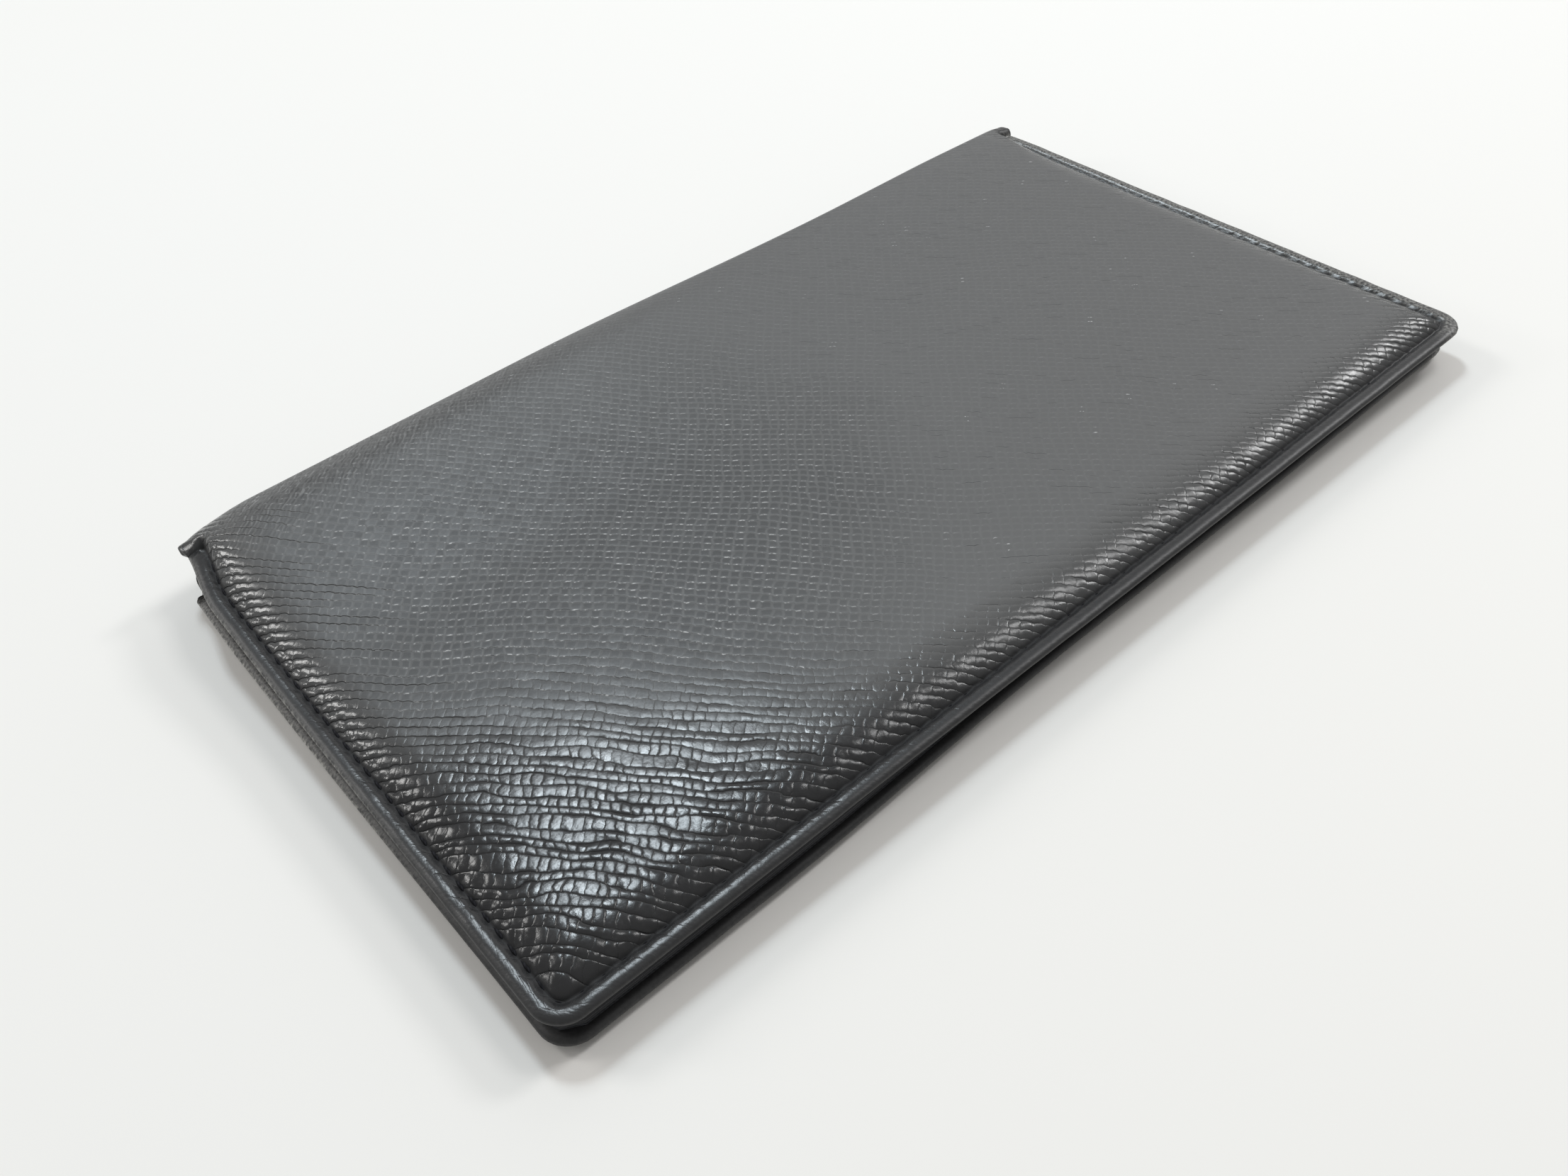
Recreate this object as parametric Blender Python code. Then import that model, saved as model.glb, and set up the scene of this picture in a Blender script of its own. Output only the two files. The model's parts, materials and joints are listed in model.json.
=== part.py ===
"""Long bifold card holder in cross-grain leather: two padded leaves joined by a folding spine.

Metres, +Z up. X runs along the spine, the spine is at +Y and the free edges are at -Y.
The origin is under the middle of the closed holder, on the table.

Each leaf is modelled in a frame of its own, with the X axis on its hinge, -Y towards the free
edge and +Z out of the cover. An empty hangs that frame in place: the back leaf is turned over,
and the front leaf leans so that the holder tapers from the spine to the free edge.
"""

import math

import bmesh
import bpy
from mathutils import Vector

# Overall size, closed
LENGTH = 0.172
WIDTH = 0.100
CORNER_RADIUS = 0.0042
LEAST_RADIUS = 0.0006
CORNER_STEPS = 6
SPINE_GAP = 0.0026
FREE_GAP = 0.0008

# Sheets, from the outside in
LEATHER = 0.0005
FRONT_FOAM = 0.0009
BACK_FOAM = 0.0004
BOARD = 0.00035
LINING = 0.0003
POCKET = 0.0003
LAYER_GAP = 0.0001

# Turned edge, seam and shoulder of the cover
HEM_WIDTH = 0.008
ROLL_STEPS = 6
SEAM_INSET = 0.0026
GROOVE_WIDTH = 0.0012
GROOVE_DEPTH = 0.0003
SHOULDER_WIDTH = 0.006
SHOULDER_STEPS = 5

# Fold at the spine
FOLD_DEPTH = 0.0019
CREASE = 0.0004
FOLD_STEPS = 4
NOTCH = 0.0034
EAR_STEP = 0.0004
EAR_REACH = 0.0005
EAR_WIDTH = 0.0032
EAR_RISE = 0.0005
SPINE_BOW = 0.0010
SPINE_STEPS = 8

# Pockets: three columns of upright cards, with the mouths towards the spine
COLUMN_PITCH = 0.0545
SHEET_INSET = 0.0012
LINING_MARGIN = 0.0045
LOWER_MOUTH = 0.016
UPPER_MOUTH = 0.028

# Thread
THREAD_RADIUS = 0.0002
INNER_THREAD_RADIUS = 0.00012
THREAD_CLEARANCE = 0.00004
THREAD_STOP = 0.0008

# Places that follow from these sizes
ROLL = 2 * LEATHER + LAYER_GAP
GROOVE_END = SEAM_INSET + GROOVE_WIDTH / 2
HINGE_Y = WIDTH / 2 - SPINE_BOW - EAR_RISE - LEATHER / 2
FREE_Y = -(HINGE_Y + WIDTH / 2)
FOLD_RADIUS = FOLD_DEPTH - CREASE

LEATHER_COLOUR = (0.052, 0.056, 0.064)
THREAD_COLOUR = (0.030, 0.032, 0.038)
LINING_COLOUR = (0.040, 0.042, 0.047)
BOARD_COLOUR = (0.36, 0.30, 0.22)
FOAM_COLOUR = (0.55, 0.54, 0.50)


def clear_scene():
    for obj in list(bpy.data.objects):
        bpy.data.objects.remove(obj, do_unlink=True)
    holder = bpy.data.collections.new("card_holder")
    bpy.context.scene.collection.children.link(holder)
    return holder


def finish(name, colour, roughness):
    """A plain Principled material of its own for one piece."""
    material = bpy.data.materials.new(name)
    material.use_nodes = True
    shader = material.node_tree.nodes["Principled BSDF"]
    shader.inputs["Base Color"].default_value = (*colour, 1.0)
    shader.inputs["Roughness"].default_value = roughness
    shader.inputs["Metallic"].default_value = 0.0
    return material


def place(data, name, parent, colour, roughness):
    """Hang finished mesh or curve data in the holder, in its parent's frame."""
    obj = bpy.data.objects.new(name, data)
    data.materials.append(finish(name, colour, roughness))
    bpy.data.collections["card_holder"].objects.link(obj)
    obj.parent = parent
    return obj


def mesh_from(bm, name):
    """Close a bmesh into mesh data with its faces pointing out."""
    bmesh.ops.recalc_face_normals(bm, faces=bm.faces)
    mesh = bpy.data.meshes.new(name)
    bm.to_mesh(mesh)
    bm.free()
    mesh.shade_smooth()
    mesh.set_sharp_from_angle(angle=math.radians(40))
    return mesh


def bridge(bm, first, second, closed):
    """Quads between two rows of vertices."""
    count = len(first)
    for i in range(count if closed else count - 1):
        j = (i + 1) % count
        bm.faces.new((first[i], first[j], second[j], second[i]))


def add_row(bm, points):
    return [bm.verts.new(point) for point in points]


def u_line(inset, height, end_y):
    """Three-sided outline at an inset from the edge: down one end, along the free edge, up the other."""
    radius = max(CORNER_RADIUS - inset, LEAST_RADIUS)
    reach = LENGTH / 2 - inset
    low = FREE_Y + inset
    points = [Vector((-reach, end_y, height))]
    for side, start in ((-1, math.pi), (1, 1.5 * math.pi)):
        for step in range(CORNER_STEPS + 1):
            angle = start + 0.5 * math.pi * step / CORNER_STEPS
            x = side * (reach - radius) + radius * math.cos(angle)
            points.append(Vector((x, low + radius + radius * math.sin(angle), height)))
    points.append(Vector((reach, end_y, height)))
    return points


class Levels:
    """Heights of one leaf's layers above its hinge axis, from the padding's thickness."""

    def __init__(self, foam):
        self.plateau = FOLD_DEPTH
        self.foam_top = self.plateau - LEATHER - LAYER_GAP
        self.foam_bottom = self.foam_top - foam
        self.board_top = self.foam_bottom - LAYER_GAP
        self.board_bottom = self.board_top - BOARD
        self.hem_top = self.board_bottom - LAYER_GAP
        self.hem_bottom = self.hem_top - LEATHER
        self.roll_top = self.hem_bottom + ROLL
        self.lining_bottom = self.hem_bottom - LAYER_GAP - LINING
        self.lower_bottom = self.lining_bottom - LAYER_GAP - POCKET
        self.inner_face = self.lower_bottom - LAYER_GAP - POCKET
        self.crown = self.plateau - self.roll_top

    def shoulder_inset(self, height):
        """Inset at which the cover's outer face reaches a height on the shoulder."""
        rise = (height - self.roll_top) / self.crown
        return GROOVE_END + SHOULDER_WIDTH * math.asin(rise) / (0.5 * math.pi)


def shoulder(levels):
    """(inset, height) of the cover's outer face from the seam groove up to the flat of the panel."""
    rows = []
    for step in range(SHOULDER_STEPS + 1):
        part = step / SHOULDER_STEPS
        height = levels.roll_top + levels.crown * math.sin(0.5 * math.pi * part)
        rows.append((GROOVE_END + SHOULDER_WIDTH * part, height))
    return rows


def turned_edge(levels):
    """(inset, height) from the tip of the hem, round the rolled edge, to the far lip of the groove."""
    radius = ROLL / 2
    rows = [(HEM_WIDTH, levels.hem_bottom)]
    for step in range(ROLL_STEPS + 1):
        angle = math.pi * step / ROLL_STEPS
        rows.append((radius - radius * math.sin(angle), levels.hem_bottom + radius - radius * math.cos(angle)))
    rows.append((SEAM_INSET - GROOVE_WIDTH / 2, levels.roll_top))
    rows.append((SEAM_INSET, levels.roll_top - GROOVE_DEPTH))
    return rows


def ear_outline():
    """(distance from the leaf's end, share of the rise) across the turned end of the fold."""
    return (
        (-EAR_REACH, 0.0),
        (0.0, 0.7),
        (0.30 * EAR_WIDTH, 1.0),
        (0.55 * EAR_WIDTH, 0.6),
        (0.80 * EAR_WIDTH, 0.15),
        (EAR_WIDTH, 0.0),
    )


def ear_ring(spot, rise_out, rise_in):
    """Closed section across the fold, with spot(x, out) placing a point out of the leather's outer face."""
    reach = LENGTH / 2
    outer = [(-reach + inset, rise_out * share) for inset, share in ear_outline()]
    inner = [(-reach + inset, -LEATHER - rise_in * share) for inset, share in ear_outline()]
    outer += [(-x, out) for x, out in reversed(outer)]
    inner += [(-x, out) for x, out in reversed(inner)]
    return [spot(x, out) for x, out in outer + inner[::-1]]


def cover_leather(name, parent, levels, ear_rise):
    """Outer leather of a leaf: turned edge and crowned panel on three sides, rolled over at the spine."""
    bm = bmesh.new()
    rise = shoulder(levels)
    outer = turned_edge(levels) + rise
    inner = [(inset, height - LEATHER) for inset, height in reversed(rise)]
    inner += [(GROOVE_END, levels.hem_top), (HEM_WIDTH, levels.hem_top)]
    rows = [add_row(bm, u_line(inset, height, -NOTCH)) for inset, height in outer + inner]
    lip = len(outer) - len(rise)
    top = len(outer) - 1
    for i in range(len(rows)):
        if i != top:
            bridge(bm, rows[i], rows[(i + 1) % len(rows)], False)
    bm.faces.new(rows[top])
    bm.faces.new(rows[top + 1][::-1])
    under = [*range(top + 1, top + 1 + len(rise))]
    for end in (0, -1):
        bm.faces.new([rows[i][end] for i in [*range(lip + 1), *range(under[-1], len(rows))]])

    ring = [rows[i][0] for i in range(lip, top + 1)] + [rows[i][-1] for i in range(top, lip - 1, -1)]
    ring += [rows[i][-1] for i in reversed(under)] + [rows[i][0] for i in under]
    for spot, fade in fold_stations(levels):
        following = add_row(bm, ear_ring(spot, ear_rise * fade, EAR_RISE * fade))
        bridge(bm, ring, following, True)
        ring = following
    bm.faces.new(ring)
    return place(mesh_from(bm, name), name, parent, LEATHER_COLOUR, 0.5)


def fold_stations(levels):
    """Where the leather runs from the notch over the quarter roll to the crease, each with the ear's share."""

    def flat(x, out):
        return Vector((x, EAR_STEP - NOTCH, levels.plateau + out))

    def rolled(angle):
        centre_y = LEATHER / 2 - FOLD_RADIUS

        def spot(x, out):
            radius = FOLD_RADIUS + out
            return Vector((x, centre_y + radius * math.sin(angle), CREASE + radius * math.cos(angle)))

        return spot

    stations = [(flat, 1.0)]
    for step in range(FOLD_STEPS + 1):
        angle = 0.5 * math.pi * step / FOLD_STEPS
        stations.append((rolled(angle), math.cos(angle)))
    return stations


def spine_strip(name, parent, height, ring_at, colour, roughness):
    """A strip that stands between the creases and bows outward, from a closed ring at each height."""
    bm = bmesh.new()
    rings = []
    for step in range(SPINE_STEPS + 1):
        part = step / SPINE_STEPS
        swell = 4 * part * (1 - part)
        rings.append(add_row(bm, ring_at(CREASE + (height - 2 * CREASE) * part, swell)))
    for first, second in zip(rings, rings[1:]):
        bridge(bm, first, second, True)
    bm.faces.new(rings[0])
    bm.faces.new(rings[-1])
    return place(mesh_from(bm, name), name, parent, colour, roughness)


def spine(parent, height):
    def leather_ring(z, swell):
        face = LEATHER / 2 + SPINE_BOW * swell
        rise = EAR_RISE * swell
        return ear_ring(lambda x, out: Vector((x, face + out, z)), rise, rise)

    def lining_ring(z, swell):
        reach = LENGTH / 2 - EAR_WIDTH - LAYER_GAP
        face = SPINE_BOW * swell - LEATHER / 2 - LAYER_GAP
        corners = ((-reach, face), (reach, face), (reach, face - LINING), (-reach, face - LINING))
        return [Vector((x, y, z)) for x, y in corners]

    spine_strip("spine_leather", parent, height, leather_ring, LEATHER_COLOUR, 0.5)
    spine_strip("spine_lining", parent, height, lining_ring, LINING_COLOUR, 0.9)


def closed_outline(inset, spine_y):
    """Outline of an inner sheet: the three sewn sides at an inset, closed by a straight edge near the spine."""
    return [(point.x, point.y) for point in u_line(inset, 0.0, spine_y)]


def sheet(name, parent, outline, bottom, thickness, colour, roughness):
    """A flat sheet cut to an outline."""
    curve = bpy.data.curves.new(name, "CURVE")
    curve.dimensions = "2D"
    curve.fill_mode = "BOTH"
    curve.extrude = thickness / 2
    spline = curve.splines.new("POLY")
    spline.points.add(len(outline) - 1)
    for point, (x, y) in zip(spline.points, outline):
        point.co = (x, y, 0.0, 1.0)
    spline.use_cyclic_u = True
    obj = place(curve, name, parent, colour, roughness)
    obj.location.z = bottom + thickness / 2
    return obj


def thread(name, parent, points, radius):
    """A round thread along straight runs and corner arcs."""
    curve = bpy.data.curves.new(name, "CURVE")
    curve.dimensions = "3D"
    curve.bevel_depth = radius
    curve.bevel_resolution = 1
    curve.use_fill_caps = True
    spline = curve.splines.new("POLY")
    spline.points.add(len(points) - 1)
    for point, spot in zip(spline.points, points):
        point.co = (*spot, 1.0)
    return place(curve, name, parent, THREAD_COLOUR, 0.7)


def padding(name, parent, levels):
    """Foam with a rounded shoulder that fills the cover's crown."""
    bm = bmesh.new()
    inner_edge = levels.shoulder_inset(levels.foam_bottom + LEATHER + LAYER_GAP)
    rows = []
    for step in range(SHOULDER_STEPS + 1):
        part = step / SHOULDER_STEPS
        height = levels.foam_bottom + (levels.foam_top - levels.foam_bottom) * part
        inset = levels.shoulder_inset(height + LEATHER + LAYER_GAP) + LAYER_GAP
        rows.append(add_row(bm, u_line(inset, height, inner_edge - inset - NOTCH)))
    for first, second in zip(rows, rows[1:]):
        bridge(bm, first, second, True)
    bm.faces.new(rows[0])
    bm.faces.new(rows[-1])
    return place(mesh_from(bm, name), name, parent, FOAM_COLOUR, 0.95)


def leaf(side, parent, levels, ear_rise):
    """Every piece of one leaf, in the leaf's own frame."""
    cover_leather(f"{side}_cover_leather", parent, levels, ear_rise)
    padding(f"{side}_padding", parent, levels)

    board_inset = levels.shoulder_inset(levels.board_top + LAYER_GAP + LEATHER) + LAYER_GAP
    board = closed_outline(board_inset, -NOTCH)
    sheet(f"{side}_stiffener", parent, board, levels.board_bottom, BOARD, BOARD_COLOUR, 0.9)

    cut = closed_outline(SHEET_INSET, -LINING_MARGIN)
    sheet(f"{side}_lining", parent, cut, levels.lining_bottom, LINING, LINING_COLOUR, 0.9)
    cut = closed_outline(SHEET_INSET, -LOWER_MOUTH)
    sheet(f"{side}_lower_pocket", parent, cut, levels.lower_bottom, POCKET, LEATHER_COLOUR, 0.6)
    cut = closed_outline(SHEET_INSET, -UPPER_MOUTH)
    sheet(f"{side}_upper_pocket", parent, cut, levels.inner_face, POCKET, LEATHER_COLOUR, 0.6)

    seam = levels.roll_top - GROOVE_DEPTH + THREAD_RADIUS + groove_lift()
    thread(f"{side}_seam_thread", parent, u_line(SEAM_INSET, seam, -NOTCH - THREAD_STOP), THREAD_RADIUS)
    inside = levels.inner_face - THREAD_CLEARANCE - INNER_THREAD_RADIUS
    run = u_line(SEAM_INSET, inside, -UPPER_MOUTH - THREAD_STOP)
    thread(f"{side}_inner_seam_thread", parent, run, INNER_THREAD_RADIUS)
    stop = FREE_Y + SEAM_INSET + 2 * INNER_THREAD_RADIUS + THREAD_STOP
    for word, x in (("left", -COLUMN_PITCH / 2), ("right", COLUMN_PITCH / 2)):
        run = [Vector((x, -UPPER_MOUTH - THREAD_STOP, inside)), Vector((x, stop, inside))]
        thread(f"{side}_column_thread_{word}", parent, run, INNER_THREAD_RADIUS)


def groove_lift():
    """How far the seam thread stands off the bottom of the groove, clear of both its slopes."""
    slope = math.atan2(GROOVE_DEPTH, GROOVE_WIDTH / 2)
    return (THREAD_RADIUS + THREAD_CLEARANCE) / math.cos(slope) - THREAD_RADIUS


def hinge_empty(name, location, rotation):
    empty = bpy.data.objects.new(name, None)
    bpy.data.collections["card_holder"].objects.link(empty)
    empty.empty_display_size = 0.01
    empty.location = location
    empty.rotation_euler = rotation
    return empty


def main():
    clear_scene()
    back = Levels(BACK_FOAM)
    front = Levels(FRONT_FOAM)
    back_axis = back.plateau
    inner_back = back_axis - back.inner_face
    front_axis = inner_back + SPINE_GAP - front.inner_face
    taper = math.asin((SPINE_GAP - FREE_GAP) / -FREE_Y)

    back_hinge = hinge_empty("back_leaf", (0.0, HINGE_Y, back_axis), (0.0, math.pi, 0.0))
    spine_hinge = hinge_empty("spine", (0.0, HINGE_Y, back_axis), (0.0, 0.0, 0.0))
    front_hinge = hinge_empty("front_leaf", (0.0, HINGE_Y, front_axis), (taper, 0.0, 0.0))
    # The table presses the ears of the back leaf flat.
    leaf("back", back_hinge, back, 0.0)
    spine(spine_hinge, front_axis - back_axis)
    leaf("front", front_hinge, front, EAR_RISE)
    print(f"hinges at y {HINGE_Y:.5f}, z {back_axis:.5f} and {front_axis:.5f}")
    print(f"taper {math.degrees(taper):.3f} degrees")


main()
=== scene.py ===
"""Looks of a long bifold card holder in slate-black cross-grain leather.

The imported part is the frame. Every piece here is worked out in a leaf's own frame, with X along the
hinge, -Y towards the free edge and +Z out of the cover, and is then laid into the part's frame.
"""

import json
import math

import bpy
import numpy as np
from bpy.props import FloatProperty, FloatVectorProperty, PointerProperty
from bpy.types import Operator, Panel, PropertyGroup
from mathutils import Matrix, Vector


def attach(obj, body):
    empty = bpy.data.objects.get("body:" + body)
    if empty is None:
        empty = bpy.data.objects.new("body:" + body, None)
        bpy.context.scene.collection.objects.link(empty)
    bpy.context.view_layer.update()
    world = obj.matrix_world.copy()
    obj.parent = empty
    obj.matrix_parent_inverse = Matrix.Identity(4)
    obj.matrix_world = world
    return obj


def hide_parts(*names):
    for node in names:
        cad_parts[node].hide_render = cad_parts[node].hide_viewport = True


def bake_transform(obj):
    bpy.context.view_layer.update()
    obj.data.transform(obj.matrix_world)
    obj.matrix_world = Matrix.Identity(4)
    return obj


bl_info = {
    "name": "Card Holder Looks",
    "version": (1, 0, 0),
    "blender": (4, 5, 0),
    "location": "View3D > Sidebar > Card Holder",
    "description": "Leather, stitching and lining of a long bifold card holder",
    "category": "Object",
}

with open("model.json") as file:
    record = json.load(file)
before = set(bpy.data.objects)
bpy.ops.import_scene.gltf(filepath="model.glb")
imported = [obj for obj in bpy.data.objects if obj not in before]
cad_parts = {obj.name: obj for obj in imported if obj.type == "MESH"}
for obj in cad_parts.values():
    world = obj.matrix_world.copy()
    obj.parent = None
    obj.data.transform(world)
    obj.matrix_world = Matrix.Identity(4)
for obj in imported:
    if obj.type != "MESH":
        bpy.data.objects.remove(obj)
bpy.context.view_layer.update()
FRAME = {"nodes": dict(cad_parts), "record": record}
JOINTS = {joint["name"]: joint for joint in FRAME["record"]["behaviour"]["joints"]}
MM = 0.001
HALF_SPINE = (JOINTS["cover_fold"]["pos_m"][2] - JOINTS["spine_fold"]["pos_m"][2]) / 2
NEAR_END, DRAWN_END = -86 * MM, -50 * MM
HEM_STEPS, ROLL_STEPS = 4, 12
CLEFT, CLEFT_WIDTH = 0.7 * MM, 0.4 * MM
HIDE_SCALE = 0.1
HIDE_VALUES = ("grain", "crease", "pucker", "worn", "tops", "pinch", "brim", "brush", "gather")


def size(name, description, default):
    return FloatProperty(name=name, description=description, default=default, unit="LENGTH", precision=5)


def colour(name, description, default):
    return FloatVectorProperty(name=name, description=description, default=default, size=3, subtype="COLOR")


class HolderSizes(PropertyGroup):
    """Sizes of the dressed holder, in metres."""

    length: size("Length", "Closed length along the spine, without the ears", 0.172)
    width: size("Width", "From the free edge to the outside of the spine", 0.100)
    corner: size("Corner radius", "Radius of the free corners", 0.0042)
    leather: size("Leather", "Thickness of the cover leather", 0.0005)
    roll: size("Roll", "Thickness of the turned edge", 0.0011)
    roll_reach: size("Roll reach", "Half width of the turned edge's round", 0.0010)
    hem: size("Hem", "Width of leather turned inside", 0.0034)
    seam: size("Seam inset", "Edge to the seam", 0.0026)
    groove: size("Groove depth", "Depth of the pinched seam", 0.00065)
    shoulder: size("Shoulder", "Edge to where the padded panel becomes flat", 0.0092)
    front_crown: size("Front crown", "Rise of the front panel over its turned edge", 0.00145)
    back_crown: size("Back crown", "Rise of the back panel over its turned edge", 0.00095)
    fold_depth: size("Fold depth", "Panel face to hinge axis", 0.0019)
    crease: size("Crease", "Leather that stays straight on each side of a crease", 0.0004)
    notch: size("Notch", "Hinge axis to the notch at the end of the sewn edge", 0.0034)
    ear_reach: size("Ear reach", "How far the turned ends of the fold stand past the leaf", 0.0005)
    ear_rise: size("Ear rise", "How far the ears stand out of the fold", 0.0005)
    spine_bow: size("Spine bow", "How far the spine bows outward", 0.0010)
    spine_gap: size("Spine gap", "Gap between the leaves at the hinge", 0.0026)
    free_gap: size("Free gap", "Gap between the leaves at the free edge", 0.0008)
    sheet: size("Sheet", "Thickness of a lining or pocket sheet", 0.0003)
    layer_gap: size("Layer gap", "Gap between layers", 0.0001)
    sheet_inset: size("Sheet inset", "Edge of the leaf to the edge of an inner sheet", 0.0012)
    lining_margin: size("Lining margin", "Hinge axis to the lining's edge", 0.0045)
    lower_mouth: size("Lower mouth", "Hinge axis to the mouth of the lower pocket", 0.016)
    upper_mouth: size("Upper mouth", "Hinge axis to the mouth of the upper pocket", 0.028)
    column: size("Column", "Distance between the two stitch lines that part the pockets", 0.0545)
    stitch: size("Stitch", "Stitch pitch", 0.0027)
    thread: size("Thread", "Thread radius", 0.00020)
    row_pitch: size("Row pitch", "Pitch of the grain's rows", 0.00118)
    wide_pitch: size("Wide pitch", "Pitch of the rows at the near free corner", 0.00150)
    cell_pitch: size("Cell pitch", "Pitch of the lines that cross the rows", 0.00140)


class HolderColours(PropertyGroup):
    """Colours of the dressed holder, as linear values."""

    cell: colour("Cell", "Flat tops of the grain", (0.045, 0.045, 0.046))
    net: colour("Net", "Hide between the flat tops", (0.124, 0.124, 0.123))
    # Partly painted shade: besides hide handled dark and smooth, this colour darkens the creased near corner,
    # the puckered seams and the turned edges where shade falls.
    dark: colour("Dark", "Hide that is handled dark and smooth", (0.022, 0.022, 0.023))
    # Painted glints: this pale colour stands for light caught on the grain's groove edges and scales; a faint
    # share is dust in the net.
    glint_and_dust: colour("Spark", "Wax and dust caught in the grain", (0.55, 0.55, 0.55))
    # Painted shade: this near-black colour fills the deep row cuts, cracks, nicks and the seam's groove.
    crease: colour("Crease", "Bottom of a deep crease", (0.006, 0.006, 0.007))
    # Partly painted light: real rubbing on the spine, and pale painted highlight and haze along the turned
    # edges.
    worn: colour("Worn", "Leather rubbed pale and brown", (0.600, 0.585, 0.550))
    thread: colour("Thread", "Waxed thread", (0.010, 0.010, 0.012))
    lining: colour("Lining", "Woven lining", (0.020, 0.021, 0.024))
    pocket: colour("Pocket", "Thin pocket leather", (0.030, 0.031, 0.034))
    floor: colour("Floor", "Pale table", (0.93, 0.92, 0.90))


class Leaf:
    """One leaf's layer heights over its hinge axis, and its place in the part's frame."""

    def __init__(self, side, sizes):
        self.side = side
        self.sizes = sizes
        self.front = side == "front"
        joint = JOINTS["cover_fold" if self.front else "spine_fold"]
        self.axis_y, self.axis_z = joint["pos_m"][1:]
        self.free_y = -(self.axis_y + sizes.width / 2)
        self.taper = math.asin((sizes.spine_gap - sizes.free_gap) / -self.free_y) if self.front else 0.0
        self.plateau = sizes.fold_depth
        self.crown = sizes.front_crown if self.front else sizes.back_crown
        self.roll_top = self.plateau - self.crown
        self.hem_bottom = self.roll_top - sizes.roll
        self.sign = 1.0 if self.front else -1.0

    def layer(self, index):
        """Bottom of the inner sheet counted from the cover: 0 lining, 1 lower pocket, 2 upper pocket."""
        step = self.sizes.layer_gap + self.sizes.sheet
        return self.hem_bottom - (index + 1) * step

    def far(self, x):
        """Place along the spine from its middle, towards the far end; the back leaf is turned over."""
        return x * self.sign

    def from_near(self, x):
        """Distance from the near end."""
        return self.far(x) + self.sizes.length / 2

    def lay(self, points, lean=1.0):
        """Leaf coordinates to the part's frame; lean fades the front leaf's taper out on the spine."""
        x, y, z = points[..., 0], points[..., 1], points[..., 2]
        if not self.front:
            return np.stack([-x, self.axis_y + y, self.axis_z - z], axis=-1)
        turn = self.taper * np.asarray(lean)
        c, s = np.cos(turn), np.sin(turn)
        return np.stack([x, self.axis_y + y * c - z * s, self.axis_z + y * s + z * c], axis=-1)


def soft_noise(x, y, cell, seed):
    """Smooth value noise from -1 to 1: random heights on a square lattice, eased between its corners."""
    table = np.random.default_rng(seed).uniform(-1.0, 1.0, (256, 256))
    u, v = x / cell, y / cell
    i, j = np.floor(u).astype(int), np.floor(v).astype(int)
    fu, fv = u - i, v - j
    fu, fv = fu * fu * (3 - 2 * fu), fv * fv * (3 - 2 * fv)
    low = table[i % 256, j % 256] * (1 - fu) + table[(i + 1) % 256, j % 256] * fu
    high = table[i % 256, (j + 1) % 256] * (1 - fu) + table[(i + 1) % 256, (j + 1) % 256] * fu
    return low * (1 - fv) + high * fv


def ease(value, start, end):
    """Smooth step from 0 at start to 1 at end."""
    t = np.clip((value - start) / (end - start), 0.0, 1.0)
    return t * t * (3 - 2 * t)


def fall(value, start, end):
    """Smooth step from 1 at start to 0 at end."""
    return 1 - ease(value, start, end)


def bell(value, width):
    """Bell curve: 1 where the value is 0, 0.37 a width away."""
    return np.exp(-((value / width) ** 2))


def grid_faces(rows, columns, first=0):
    """Quads of a grid of vertices that is stored row by row."""
    r, c = np.meshgrid(np.arange(rows - 1), np.arange(columns - 1), indexing="ij")
    start = (first + r * columns + c).ravel()
    return np.stack([start, start + 1, start + columns + 1, start + columns], axis=1)


def make_mesh(name, points, faces, material, smooth=True):
    """A mesh object of one material, from whole arrays of points and quads."""
    mesh = bpy.data.meshes.new(name)
    mesh.vertices.add(len(points))
    mesh.vertices.foreach_set("co", np.asarray(points, np.float32).ravel())
    mesh.loops.add(faces.size)
    mesh.loops.foreach_set("vertex_index", faces.astype(np.int32).ravel())
    mesh.polygons.add(len(faces))
    mesh.polygons.foreach_set("loop_start", np.arange(0, faces.size, faces.shape[1], dtype=np.int32))
    mesh.update(calc_edges=True)
    mesh.validate()
    mesh.polygons.foreach_set("use_smooth", np.full(len(mesh.polygons), smooth))
    mesh.materials.append(material)
    obj = bpy.data.objects.new(name, mesh)
    bpy.context.scene.collection.objects.link(obj)
    return obj


def set_uv(obj, name, uv):
    """A UV map from one pair of values a vertex."""
    mesh = obj.data
    index = np.empty(len(mesh.loops), np.int32)
    mesh.loops.foreach_get("vertex_index", index)
    layer = mesh.uv_layers.new(name=name)
    layer.data.foreach_set("uv", np.asarray(uv, np.float32)[index].ravel())


def set_values(obj, name, values):
    """A named value at each vertex, which the materials read."""
    attribute = obj.data.attributes.new(name, "FLOAT", "POINT")
    attribute.data.foreach_set("value", np.asarray(values, np.float32).ravel())


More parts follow.
